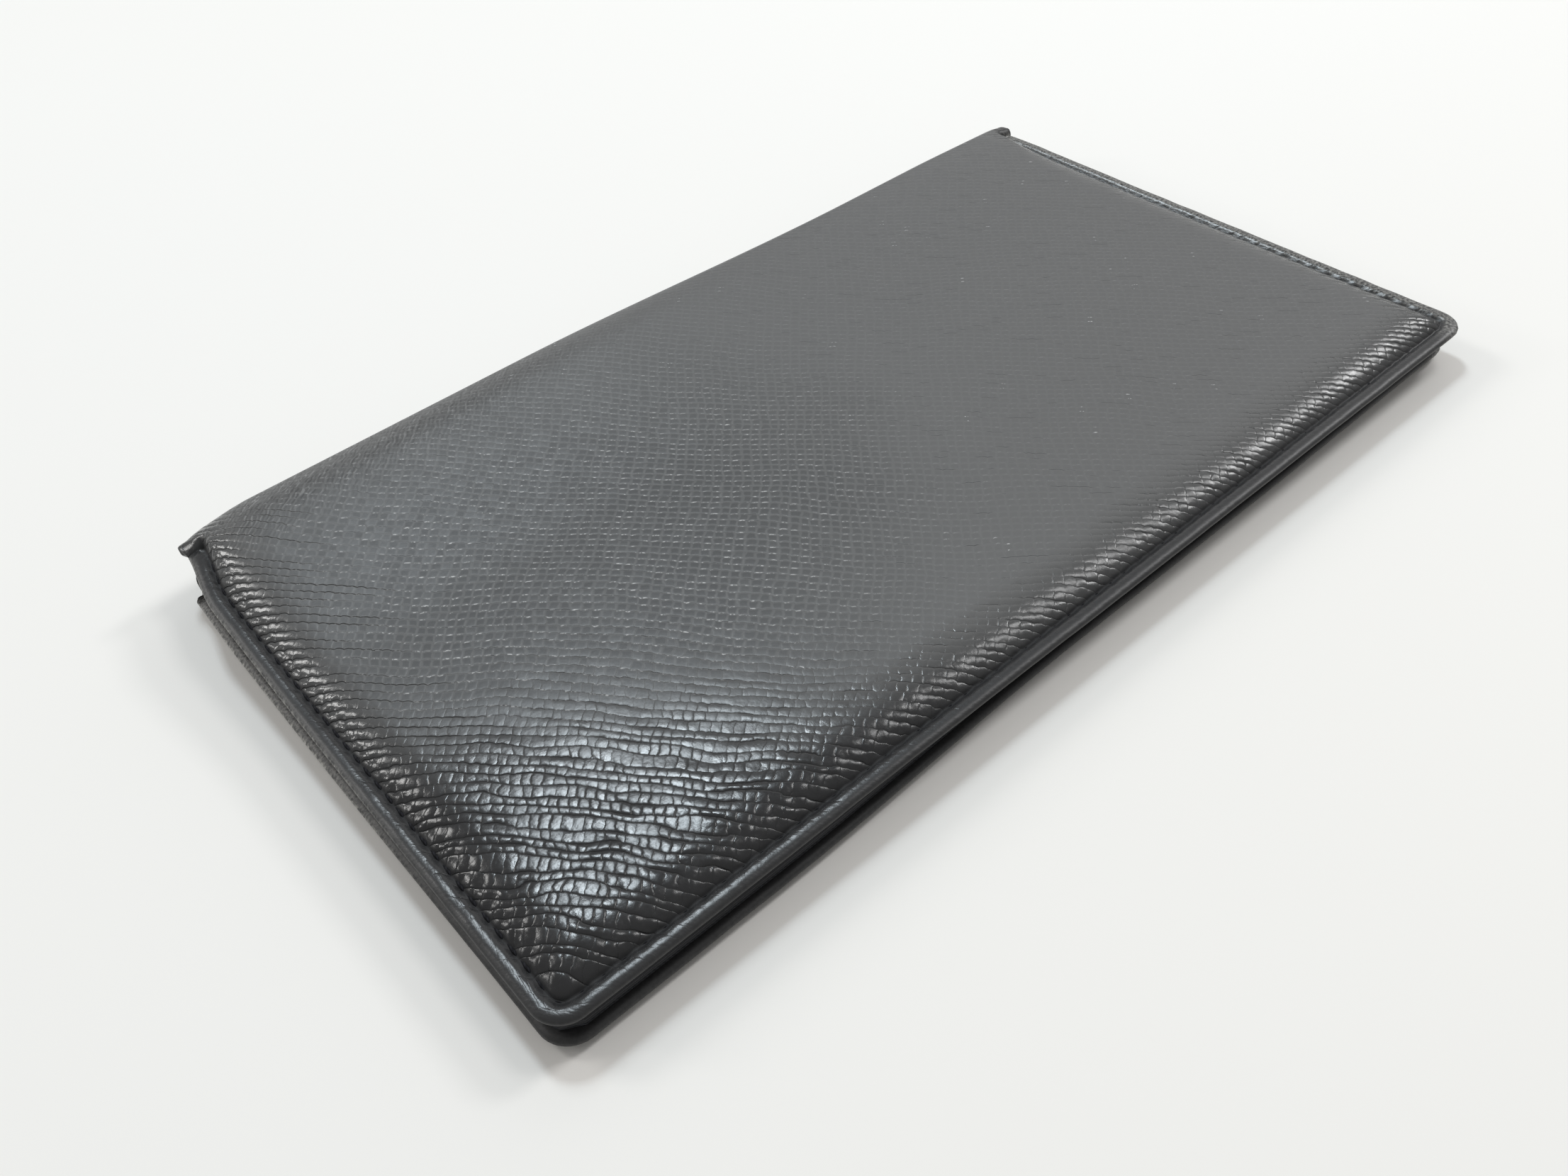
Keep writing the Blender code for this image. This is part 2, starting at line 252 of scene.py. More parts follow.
class Field:
    """A shader value that takes Python arithmetic, and adds the Math nodes for it."""

    def __init__(self, graph, socket):
        self.graph = graph
        self.socket = socket

    def math(self, operation, *values):
        node = self.graph.node("ShaderNodeMath", {"operation": operation}, dict(enumerate(values)))
        return Field(self.graph, node.outputs[0])

    def __add__(self, other):
        return self.math("ADD", self, other)

    def __sub__(self, other):
        return self.math("SUBTRACT", self, other)

    def __rsub__(self, other):
        return self.math("SUBTRACT", other, self)

    def __mul__(self, other):
        return self.math("MULTIPLY", self, other)

    __radd__ = __add__

    def floor(self):
        return self.math("FLOOR", self)

    def edge(self):
        """0 in the middle of each whole step and 1 at its ends."""
        return self.math("ABSOLUTE", self.math("FRACT", self) * 2.0 - 1.0)

    def power(self, exponent):
        return self.math("POWER", self, exponent)

    def ramp(self, start, end, low=0.0, high=1.0):
        """Smooth step from low at start to high at end."""
        sockets = {"Value": self, "From Min": start, "From Max": end, "To Min": low, "To Max": high}
        node = self.graph.node("ShaderNodeMapRange", {"interpolation_type": "SMOOTHSTEP"}, sockets)
        return Field(self.graph, node.outputs["Result"])


class Graph:
    """One material's node tree, with short ways to add nodes."""

    def __init__(self, name):
        self.material = bpy.data.materials.new(name)
        self.material.use_nodes = True
        self.tree = self.material.node_tree
        self.shader = self.tree.nodes["Principled BSDF"]

    def node(self, kind, settings=None, sockets=None):
        """A node of a kind, with its settings set first and then its sockets' values or links."""
        node = self.tree.nodes.new(kind)
        for key, value in (settings or {}).items():
            setattr(node, key, value)
        for key, value in (sockets or {}).items():
            self.feed(node.inputs[key], value)
        return node

    def feed(self, socket, value):
        if isinstance(value, Field):
            self.tree.links.new(value.socket, socket)
        elif socket.type == "RGBA":
            socket.default_value = (*value, 1.0)
        else:
            socket.default_value = value

    def surface(self, **sockets):
        for key, value in sockets.items():
            self.feed(self.shader.inputs[key.replace("_", " ")], value)

    def uv(self, name):
        return self.parts(self.node("ShaderNodeUVMap", {"uv_map": name}).outputs["UV"])

    def place(self):
        """The piece's own coordinates, in metres."""
        return self.parts(self.node("ShaderNodeTexCoord").outputs["Object"])

    def parts(self, socket):
        """The first two values of a vector, and the vector itself."""
        vector = Field(self, socket)
        values = self.node("ShaderNodeSeparateXYZ", None, {0: vector}).outputs
        return Field(self, values["X"]), Field(self, values["Y"]), vector

    def value(self, name):
        node = self.node("ShaderNodeAttribute", {"attribute_name": name, "attribute_type": "GEOMETRY"})
        return Field(self, node.outputs["Fac"])

    def noise(self, vector, scale, detail=2.0):
        sockets = {"Vector": vector, "Scale": scale, "Detail": detail, "Roughness": 0.55}
        return Field(self, self.node("ShaderNodeTexNoise", None, sockets).outputs["Fac"])

    def pair(self, first, second):
        return Field(self, self.node("ShaderNodeCombineXYZ", None, {"X": first, "Y": second}).outputs[0])

    def chance(self, first, second=0.0):
        """A random value for each pair of whole numbers."""
        sockets = {"Vector": self.pair(first, second)}
        node = self.node("ShaderNodeTexWhiteNoise", {"noise_dimensions": "2D"}, sockets)
        return Field(self, node.outputs["Value"])

    def mix(self, share, first, second):
        """A colour between two, by a share from 0 to 1."""
        node = self.node("ShaderNodeMix", {"data_type": "RGBA"}, {0: share, 6: first, 7: second})
        return Field(self, node.outputs[2])

    def bump(self, height, strength=1.0):
        """A normal from a height in millimetres."""
        node = self.node("ShaderNodeBump", None, {"Strength": strength, "Distance": MM, "Height": height})
        return Field(self, node.outputs["Normal"])


def brighter(tone, times):
    return tuple(c * times for c in tone)


def cover_leather(colours):
    """Cross-grain leather: rows of small rounded cells, pressed deeper where the hide is creased.

    The rows map counts rows in U and cells in V. Of the values, grain says how strongly the pattern shows,
    crease where its rows are folded deep, pucker where the seam draws them together, worn where the hide is
    rubbed pale and where a painted highlight lies along the turned edges, tops where the cells' tops are dark
    and where painted shade darkens the near half, pinch where the seam lies in shade, brim where rows cut
    across the glossy shoulder, brush where the fold combs them into scales and gather where cracks start.
    """
    graph = Graph("cover_leather")
    rows, cells, _ = graph.uv("rows")
    _, _, hide = graph.uv("hide")
    grain, crease, pucker, worn, tops, pinch, brim, brush, gather = map(graph.value, HIDE_VALUES)

    # Noises, and the rows and cells that they shift
    patch = graph.noise(hide, 9.0)
    fleck = graph.noise(hide, 45.0)
    fine = graph.noise(hide, 230.0, 3.0)
    sway = graph.noise(graph.pair(cells * 0.12, rows * 0.40), 1.0, 1.0)
    arch = cells.edge().power(2.0)
    rows = rows + (fleck - 0.5) * 0.42 + (sway - 0.5) * crease * 2.6 + arch * (1.0 - crease) * 0.11
    row, border = rows.floor(), (rows + 0.5).floor()
    cells = cells + graph.chance(row) * (crease * 3.0 + 0.20) + (fleck - 0.5) * 0.8
    row_line, cell_line = rows.edge(), cells.edge()
    lot = graph.chance(cells.floor(), row)
    run = graph.noise(graph.pair(cells * 0.27, border * 5.37), 1.0, 1.0)
    comb = graph.noise(graph.pair(cells * 2.4, rows * 0.55), 1.0, 2.0) * 0.8 + (cells * 2.0).edge() * 0.2
    ruck = graph.noise(graph.pair(rows * 1.8, cells * 0.32), 1.0, 2.0)
    deep = run.ramp(0.46, 0.66)
    crack = (gather + graph.chance(border) * 0.75 - 0.8).ramp(0.0, 0.25)
    gathered = gather.power(5.0) * (1.0 - crease)
    folded = (crease + pucker + brim).ramp(0.05, 0.75)
    plain = 1.0 - folded

    # Height in millimetres
    row_cut = row_line.power(13.0)
    pillow = row_line.power(2.0) * 0.65 + row_cut * 0.35
    cell_cut = cell_line.power(7.0) * graph.chance(row, cells.floor()).ramp(0.1, 0.9)
    row_depth = (crease * 0.125 + pucker * 0.05 + brim * 0.06) * (deep * 0.75 + 0.25) + 0.020
    cell_depth = crease * 0.026 + brim * 0.025 + 0.006
    cuts = pillow * row_depth + cell_cut * cell_depth + cell_line.power(2.0) * crease * 0.018
    cuts = cuts + row_cut * crack * (1.0 - crease) * 0.06 + row_line.power(2.0) * gathered * 0.10
    lumps = (lot - 0.5) * crease * 0.008 + (fleck - 0.5) * (crease * 0.06 + pucker * pucker * 0.10)
    lumps = lumps + (ruck - 0.5) * pucker * (1.0 - crease * 0.8) * (1.0 - brim * 0.85) * 0.09
    height = (lumps + (comb - 0.5) * brush * 0.07 - cuts) * grain
    height = height + (ruck - 0.5) * (1.0 - grain) * 0.05 + (patch - 0.5) * 0.04
    height = height + (fine - 0.5) * (folded * 0.012 + 0.006)

    # Colour, laid on in this order
    tile = (1.0 - row_line.ramp(0.45, 0.85)) * (1.0 - cell_line.ramp(0.55, 0.90))
    tile = tile * lot.ramp(0.0, 0.6, 0.75, 1.0)
    net = 1.0 - (1.0 - row_line.ramp(0.78, 0.96)) * (1.0 - cell_line.ramp(0.84, 0.97))
    net = net * fleck.ramp(0.40, 0.62) * (patch.ramp(0.35, 0.6) + 0.3) * (tops * 0.8 + 0.2)
    # Painted glints: short pale dashes on the row lines and rare pale specks stand for light caught on the
    # grooves' edges.
    glint_dash = row_line.ramp(0.80, 0.94) * cell_line.ramp(0.85, 0.4)
    glint_dash = glint_dash * fleck.ramp(0.44, 0.56) * fine.ramp(0.44, 0.58)
    spot = row_line.ramp(0.70, 0.90) * cell_line.ramp(0.55, 0.35)
    spot = spot * lot.ramp(0.990, 0.995) * fine.ramp(0.45, 0.6)
    nick = row_line.ramp(0.88, 0.97) * run.ramp(0.60, 0.66) * plain
    shade = colours.net
    for share, tone in (
        (tile * plain * grain * tops, colours.cell),
        # Painted shade: the whole hide darkens over the near half, as the tops value says.
        (tops * 0.48, colours.cell),
        (net * plain * grain * 0.05, colours.glint_and_dust),
        # Partly painted shade: the creased corner, puckered seams, shoulder rows and turned edges darken
        # here.
        ((crease + pucker * 0.4 + brim * 0.25 + (1.0 - grain)).ramp(0.0, 1.0), colours.dark),
        # Painted glints: pale dashes and specks along the rows.
        ((glint_dash * tops + spot) * (plain * 0.8 + 0.1) * grain, colours.glint_and_dust),
        # Painted highlight and shade on the fold's scales: pale streaks and dark between them.
        (comb.ramp(0.56, 0.70) * brush * grain * 0.18, colours.glint_and_dust),
        (comb.ramp(0.46, 0.34) * brush * grain * 0.5, colours.dark),
        # Painted shade in the deep row cuts, cracks and nicks.
        (row_cut.ramp(0.0, 0.7) * deep * folded * grain * 0.75, colours.crease),
        (row_cut.ramp(0.05, 0.6) * crack * grain * 0.85, colours.crease),
        (nick * grain * 0.8, colours.crease),
        # Pale rubbing, and painted highlight and haze on the turned edges.
        (worn * fine.ramp(0.30, 0.75), colours.worn),
        # Painted shade in the seam's groove and the ear's cleft.
        (pinch * fleck.ramp(0.25, 0.5, 0.6, 1.0), colours.crease),
    ):
        shade = graph.mix(share, shade, tone)

    gloss = (crease * 1.3 + pucker * 1.2 + brim * 1.4).ramp(0.0, 1.0) * (grain * 0.5 + 0.5) * 0.22
    gloss = gloss + pucker * (1.0 - brim) * 0.05 + gathered * 0.06
    rough = 0.46 + (fine - 0.5) * 0.12 + (lot - 0.5) * grain * 0.06 + pinch * 0.5 - gloss
    graph.surface(Base_Color=shade, Roughness=rough, Normal=graph.bump(height))
    return graph.material


def thread_fibre(colours):
    """Waxed thread: two plies twisted along the stitch."""
    graph = Graph("waxed_thread")
    along, around, _ = graph.uv("twist")
    ply = (along * 3.0 + around * 2.0).edge()
    tone = graph.mix(ply.ramp(0.2, 0.9), colours.thread, brighter(colours.thread, 2.2))
    graph.surface(Base_Color=tone, Roughness=0.8, Normal=graph.bump(ply * 0.03), Specular_IOR_Level=0.15)
    return graph.material


def lining_weave(colours):
    """Fine twill: slanted ribs over and under."""
    graph = Graph("lining_weave")
    x, y, spot = graph.place()
    warp = (x * 2200.0).edge()
    rib = ((x + y) * 1500.0).edge()
    cloud = graph.noise(spot, 90.0)
    tone = graph.mix(rib.ramp(0.1, 0.9) * 0.8, colours.lining, brighter(colours.lining, 2.1))
    tone = graph.mix(cloud.ramp(0.35, 0.7) * 0.3, tone, brighter(colours.lining, 1.6))
    graph.surface(Base_Color=tone, Roughness=0.85, Normal=graph.bump(rib * 0.05 + warp * 0.02))
    return graph.material


def pocket_leather(colours):
    """Thin smooth leather with fine pores and faint rubbing along the mouths."""
    graph = Graph("pocket_leather")
    _, _, spot = graph.place()
    pores = graph.noise(spot, 1900.0, 3.0)
    cloud = graph.noise(spot, 55.0)
    rub = graph.value("rub")
    tone = graph.mix(cloud.ramp(0.3, 0.75), colours.pocket, brighter(colours.pocket, 1.45))
    tone = graph.mix(rub * 0.5, tone, brighter(colours.pocket, 2.6))
    rough = 0.52 - rub * 0.12 + (pores - 0.5) * 0.18
    graph.surface(Base_Color=tone, Roughness=rough, Normal=graph.bump(pores * 0.035 + cloud * 0.05))
    return graph.material


def cloudy(name, scale, detail, low, high, rough, relief=0.0):
    """A matt surface whose tone drifts between two colours, with a relief in millimetres."""
    graph = Graph(name)
    _, _, spot = graph.place()
    cloud = graph.noise(spot, scale, detail)
    graph.surface(Base_Color=graph.mix(cloud, low, high), Roughness=rough)
    if relief:
        graph.surface(Normal=graph.bump(cloud * relief))
    return graph.material


def board_fibre():
    """Pressed fibre board, which stays inside the leaf."""
    return cloudy("fibre_board", 700.0, 4.0, (0.25, 0.20, 0.14), (0.42, 0.35, 0.26), 0.9)


def foam_cells():
    """Open foam, which stays inside the leaf."""
    return cloudy("foam_padding", 1500.0, 2.0, (0.42, 0.41, 0.38), (0.62, 0.61, 0.57), 0.95, 0.1)


def table_top(colours):
    """Pale matt table."""
    warm = tuple(c * k for c, k in zip(colours.floor, (1.0, 0.985, 0.96)))
    return cloudy("table_top", 3.0, 2.0, colours.floor, warm, 0.6)


class Outline:
    """Columns round the three sewn sides of a leaf, at any inset: near end, free edge, far end."""

    def __init__(self, leaf, end_steps, free_steps):
        self.leaf = leaf
        self.end_steps = end_steps
        self.free_steps = free_steps

    def at(self, inset):
        """Points (rows, columns, 2) at the insets in a column array: straight runs with round corners.

        Each side runs to the middle of its corner arcs, and its steps are shared out along that length.
        """
        sizes = self.leaf.sizes
        inset = np.asarray(inset, float)[:, None]
        radius = np.maximum(sizes.corner - inset, 1e-9)
        reach = sizes.length / 2 - inset
        low = self.leaf.free_y + inset
        arc = radius * math.pi / 4
        run = -sizes.notch - (low + radius)
        along = self.end_steps * (run + arc)
        turn = np.maximum(along - run, 0.0) / radius
        end_x = -reach + radius - radius * np.cos(turn)
        end_y = np.where(along < run, -sizes.notch - along, low + radius - radius * np.sin(turn))
        width = 2 * (reach - radius)
        along = self.free_steps * (width + 2 * arc)
        first = math.pi / 4 + np.minimum(along, arc) / radius
        last = np.maximum(along - arc - width, 0.0) / radius
        middle = np.clip(along - arc, 0.0, width)
        free_x = -reach + radius + middle - radius * np.cos(first) + radius * np.sin(last)
        free_y = low + radius - radius * np.where(last > 0.0, np.cos(last), np.sin(first))
        far_x, far_y = -end_x[:, ::-1], end_y[:, ::-1]
        x = np.concatenate([end_x[:, :-1], free_x, far_x[:, 1:]], axis=1)
        y = np.concatenate([end_y[:, :-1], free_y, far_y[:, 1:]], axis=1)
        return np.stack([x, y], axis=-1)


def top_insets(sizes):
    """Insets across the top of the turned edge, the seam groove and the padded shoulder."""
    outer, inner = sizes.seam - 0.7 * MM, sizes.seam + 0.7 * MM
    lip = np.linspace(sizes.roll_reach, outer, 6)[1:]
    groove = np.linspace(outer, inner, 10)[1:]
    rise = np.linspace(inner, sizes.shoulder, 14)[1:]
    return np.concatenate([lip, groove, rise])


def edge_profile(leaf):
    """(inset, height) of the turned edge: flat hem, half ellipse round the edge, then the top insets."""
    sizes = leaf.sizes
    angle = np.linspace(0.0, math.pi, ROLL_STEPS)
    inset = np.concatenate([
        np.linspace(sizes.hem, sizes.roll_reach, HEM_STEPS, endpoint=False),
        sizes.roll_reach * (1 - np.sin(angle)),
        top_insets(sizes),
    ])
    round_height = leaf.hem_bottom + sizes.roll / 2 - 1.08 * sizes.roll / 2 * np.cos(angle)
    height = np.concatenate([np.full(HEM_STEPS, round_height[0]), round_height])
    return inset, height


def top_height(leaf, inset, groove, climb_width):
    """Height of the cover's top at an inset: a lip that drops into the groove, then the crowned shoulder."""
    sizes = leaf.sizes
    lip = leaf.hem_bottom + 1.04 * sizes.roll
    floor = leaf.roll_top - groove
    down = ease(inset, sizes.roll_reach, sizes.seam)
    climb = np.clip((inset - sizes.seam) / climb_width, 0.0, 1.0)
    outer = lip - (lip - floor) * down**2.2
    inner = floor + (leaf.plateau - floor) * (1 - (1 - climb) ** 2.4) ** 0.75
    return np.where(inset < sizes.seam, outer, inner)


def ear_profile(leaf):
    """(inset, rise) across the turned end of the fold, with as many points as the edge profile.

    The hem lies inside, a half round wraps the end, and the outside falls towards it in a soft shoulder.
    """
    sizes = leaf.sizes
    bead = 0.5 * sizes.roll
    sink = 0.6 * sizes.ear_rise
    hem = 0.55 * sizes.hem
    angle = np.linspace(0.0, math.pi, ROLL_STEPS)
    outside = top_insets(sizes)
    climb = np.clip((outside - sizes.roll_reach) / (3.5 * MM), 0.0, 1.0)
    fade = np.linspace(0.0, 1.0, HEM_STEPS, endpoint=False)
    inset = np.concatenate([
        hem + (sizes.roll_reach - hem) * fade,
        sizes.roll_reach - (sizes.roll_reach + sizes.ear_reach) * np.sin(angle),
        outside,
    ])
    rise = np.concatenate([
        -sink - bead * (1.1 + 0.9 * fade),
        -sink - bead - bead * np.cos(angle),
        -sink * (1 - climb) ** 2.2,
    ])
    return inset, rise


def spine_swell(leaf, x):
    """How full the fold is along the spine, from 0 to 1: full up to the middle, then slimmer."""
    far = leaf.far(x)
    start = 0.55 + 0.45 * ease(far, NEAR_END, -74 * MM)
    end = fall(far, 62 * MM, 86 * MM)
    return start * (1 - 0.80 * ease(far, -25 * MM, 45 * MM)) * end


def near_share(leaf, x, end):
    """1 at the near end of the spine, easing to 0 at a place along it."""
    return fall(leaf.far(x), NEAR_END, end)


def lift_of(leaf, x, y):
    """How far the soft leaf strays from its flat shape, out of the cover.

    The front leaf swells over the fold and rounds off towards the spine, lifts a little along the middle of
    its free edge, and its panel waves gently and is folded round the near free corner.
    """
    if not leaf.front:
        return np.zeros_like(x * y)
    away = -y
    toward_free = np.clip(y / leaf.free_y, 0.0, 1.0)
    wave = 0.10 * MM * soft_noise(x + 0.5, y + 0.5, 26 * MM, 11) * ease(toward_free, 0.06, 0.16)
    edge = 0.3 * MM * bell(x + 36 * MM, 26 * MM) * toward_free**2
    full = spine_swell(leaf, x)
    body = (0.2 * MM + 2.8 * MM * full) * fall(away, 3 * MM, 40 * MM)
    droop = (0.5 * MM + 1.2 * MM * full) * np.clip(1 - away / (8 * MM), 0.0, 1.0) ** 2
    return wave + edge + body - droop + wrinkle_of(leaf, x, y)


def wrinkle_of(leaf, x, y):
    """Height of the real folds round the near free corner: noise drawn out along the rows of the grain."""
    seam, shoulder = leaf.sizes.seam, leaf.sizes.shoulder
    grid = grain_map(leaf, x, y)
    fold = soft_noise(grid[..., 0] + 40.0, grid[..., 1] * 0.16, 1.7, 61)
    inside = ease(np.minimum(y - leaf.free_y, leaf.from_near(x)), seam + 0.4 * MM, shoulder)
    return 0.11 * MM * fold * crease_of(leaf, x, y) * inside


def skew_of(leaf, x, y):
    """Sideways shift (x, y) of a soft leaf.

    The front leaf draws in where its near end meets the fold. The back leaf lies turned a little: it reaches
    past the near end between its corners, and draws in along the far part of its free edge.
    """
    if leaf.front:
        return 1.9 * MM * ease(y, -16 * MM, -2 * MM) * near_share(leaf, x, DRAWN_END), 0.0
    far = leaf.far(x)
    toward_free = np.clip(y / leaf.free_y, 0.0, 1.0)
    out = 0.35 * MM * ease(toward_free, 0.03, 0.2) * fall(toward_free, 0.4, 1.0)
    inward = 1.3 * MM * ease(far, -56 * MM, -4 * MM) + 0.5 * MM * ease(far, 30 * MM, 86 * MM)
    return -leaf.sign * out, inward * toward_free**2


def soft_points(leaf, x, y, z):
    """Points of a soft leaf, shifted sideways with it."""
    aside, inward = skew_of(leaf, x, y)
    return np.stack([x + aside, y + inward, z], axis=-1)


def draw_in(leaf, x):
    """How far the fold draws in along the hinge at its near end."""
    return leaf.sign * 2.0 * MM * near_share(leaf, x, DRAWN_END)


def crease_of(leaf, x, y):
    """Where the hide is folded deep: round the near free corner and along the near end."""
    near = np.hypot(leaf.from_near(x), (y - leaf.free_y) * 1.15)
    ragged = 5 * MM * soft_noise(x, y + 3.0, 18 * MM, 31)
    return fall(near + ragged, 14 * MM, 74 * MM)


def pucker_of(leaf, inset):
    """Where the seam draws the hide together."""
    return fall(inset, leaf.sizes.seam, leaf.sizes.shoulder)


def brim_of(leaf, x, y):
    """Where the rows cut deep across a glossy shoulder: along the free edge, and less along the near end."""
    seam, shoulder = leaf.sizes.seam, leaf.sizes.shoulder
    ragged = 0.8 * MM * soft_noise(x, y, 5 * MM, 51)
    free, near = y - leaf.free_y, leaf.from_near(x)
    inside = ease(np.minimum(free, near), seam - 0.4 * MM, seam + 0.4 * MM)
    along_free = fall(free + ragged, 0.6 * shoulder, 1.5 * shoulder)
    along_near = 0.14 * fall(near + 2 * ragged, 0.7 * shoulder, 2.2 * shoulder)
    return inside * np.maximum(along_free, along_near)


def gather_of(leaf, x):
    """Where the seam of the near end gathers the rows into cracks: full at the seam, none 20 mm in."""
    near = leaf.from_near(x) - leaf.sizes.seam
    return ease(near, -0.3 * MM, 0.3 * MM) * np.clip(1 - near / (20 * MM), 0.0, 1.0)


def brush_of(leaf, x, y):
    """Where the fold combs the grain into scales: along the near half of the spine."""
    return ease(y, -16 * MM, -4 * MM) * fall(leaf.far(x), -62 * MM, 10 * MM)


def tops_and_shade_of(leaf, x, y):
    """How dark the grain's flat tops are, and painted shade on the whole hide: most on the near half, faint
    towards the far end.
    """
    near = np.hypot(leaf.far(x) + 48 * MM, 1.2 * (y + leaf.axis_y - 4 * MM))
    ragged = 6 * MM * soft_noise(x + 4.0, y, 15 * MM, 41)
    return 0.12 + 0.85 * fall(near + ragged, 16 * MM, 66 * MM)


def grain_map(leaf, x, y):
    """Rows and cells of the grain, counted along two slanted directions that wander over the hide.

    Rows widen towards the near free corner by a soft ramp.
    """
    sizes = leaf.sizes
    x = leaf.far(x)
    wander = 1.3 * MM * soft_noise(x + 1.0, y + 1.0, 34 * MM, 3) + 0.4 * MM * soft_noise(x, y, 9 * MM, 4)
    drift = 1.4 * MM * soft_noise(x + 2.0, y + 1.0, 30 * MM, 5) + 0.4 * MM * soft_noise(x, y, 8 * MM, 6)
    run = 0.735 * x + 0.678 * (y + leaf.axis_y) + wander
    soft = 8 * MM
    wide = soft * np.log1p(np.exp((-50 * MM - run) / soft))
    rows = run / sizes.row_pitch + wide * (1 / sizes.row_pitch - 1 / sizes.wide_pitch)
    slant = 0.745 * x - 0.667 * (y + leaf.axis_y)
    return np.stack([rows, (slant + drift) / sizes.cell_pitch], axis=-1)


def graded(count, first):
    """Steps from 0 to 1 whose spacing starts at a share of the even one and grows."""
    t = np.linspace(0.0, 1.0, count + 1)
    return first * t + (1 - first) * t * t


class Skin:
    """The leather of one leaf, from its hem to the middle of the spine, as joined grids of points."""

    def __init__(self, leaf, ends, frees, folds):
        self.leaf = leaf
        across = graded(frees, 0.5)
        if not leaf.front:
            across = 1 - across[::-1]
        down = 1 - graded(ends, 0.6)[::-1]
        self.inset, self.edge_height = edge_profile(leaf)
        self.outline = Outline(leaf, down, across)
        self.border()
        self.panel(across, down)
        self.fold(folds)

    def border(self):
        """Edge profile carried round the outline, with the groove pinched at every stitch."""
        leaf, sizes = self.leaf, self.leaf.sizes
        self.border_flat = self.outline.at(self.inset)
        x, y = self.border_flat[..., 0], self.border_flat[..., 1]
        seam = self.outline.at([sizes.seam])[0]
        step = np.hypot(*np.diff(seam, axis=0).T)
        along = np.concatenate([[0.0], np.cumsum(step)])
        from_notch = -sizes.notch - seam[:, 1]
        pinch = 0.75 + 0.25 * np.cos(2 * math.pi * along / sizes.stitch)
        pinch = pinch * (0.3 + 0.7 * ease(from_notch, 0.0, 6 * MM))
        climb_width = (sizes.shoulder - sizes.seam) * (0.2 + 0.8 * ease(from_notch, 0.0, 15 * MM))
        inset = np.repeat(self.inset[:, None], len(along), axis=1)
        rolled = np.repeat(self.edge_height[:, None], len(along), axis=1)
        top = top_height(leaf, inset[len(rolled):], sizes.groove * pinch, climb_width)
        ripple = 0.05 * MM * soft_noise(along, 0.0 * along, 3.2 * MM, 21)
        height = np.concatenate([rolled, top]) + ripple * (inset < sizes.seam) + lift_of(leaf, x, y)
        self.border_points = soft_points(leaf, x, y, height)
        self.border_inset = inset

    def panel(self, across, down):
        """Flat of the padded panel inside the shoulder, lifted as the soft leaf is."""
        leaf, sizes = self.leaf, self.leaf.sizes
        reach = sizes.length / 2 - sizes.shoulder
        low = leaf.free_y + sizes.shoulder
        x, y = np.meshgrid(-reach + 2 * reach * across, -sizes.notch + (low + sizes.notch) * down)
        self.panel_points = soft_points(leaf, x, y, leaf.plateau + lift_of(leaf, x, y))
        self.panel_flat = np.stack([x, y], axis=-1)

    def fold(self, count):
        """From the notch over the quarter roll and down to the middle of the spine.

        The first section is the end of the border and the panel; it turns into the ear's section within
        a short step, and that section then follows the path of the fold.
        """
        leaf, sizes = self.leaf, self.leaf.sizes
        inset, rise = ear_profile(leaf)
        middle = self.panel_points[0, 1:-1, 0]

        def both_ends(values, centre):
            return np.concatenate([values, np.full(len(middle), centre), values[::-1]])

        start, end = self.border_points[:, 0], self.border_points[::-1, -1]
        first = np.concatenate([start, self.panel_points[0, 1:-1], end])
        x = np.concatenate([-sizes.length / 2 + inset, middle, (sizes.length / 2 - inset)[::-1]])
        full = spine_swell(leaf, x) if leaf.front else 0.0
        near_end = near_share(leaf, x, -62 * MM)
        tip = bell(np.maximum(both_ends(inset, 1.0) + sizes.ear_reach, 0.0), 2.6 * MM) * near_end

        # Path across the fold: flat to the roll, a quarter turn, then down to the middle of the spine
        radius = sizes.fold_depth - sizes.crease
        flat = sizes.notch - (radius - sizes.leather / 2)
        rolled = flat + radius * math.pi / 2
        third = count // 3
        along = np.concatenate([
            np.linspace(0.0, flat, third, endpoint=False),
            np.linspace(flat, rolled, third, endpoint=False),
            np.linspace(rolled, rolled + HALF_SPINE + sizes.crease, count - 2 * third),
        ])[:, None]
        turned = np.clip((along - flat) / (rolled - flat), 0.0, 1.0)
        drop = np.maximum(along - rolled, 0.0)
        past = fall(drop, 0.0, HALF_SPINE)
        part = np.clip((drop - 2 * sizes.crease) / (2 * (HALF_SPINE - sizes.crease)), 0.0, 0.5)
        bow = sizes.spine_bow * 4 * part * (1 - part) * (1 + 0.5 * near_end)
        flat_y = np.minimum(along, flat) - sizes.notch + 0.0 * x
        lift = lift_of(leaf, x + 0.0 * flat_y, flat_y)
        step, roll_y = 0.1 * MM, 0.0 * x + flat - sizes.notch
        tilt = np.arctan((lift_of(leaf, x, roll_y - step) - lift_of(leaf, x, roll_y)) / step)
        angle = tilt + (math.pi / 2 - tilt) * turned

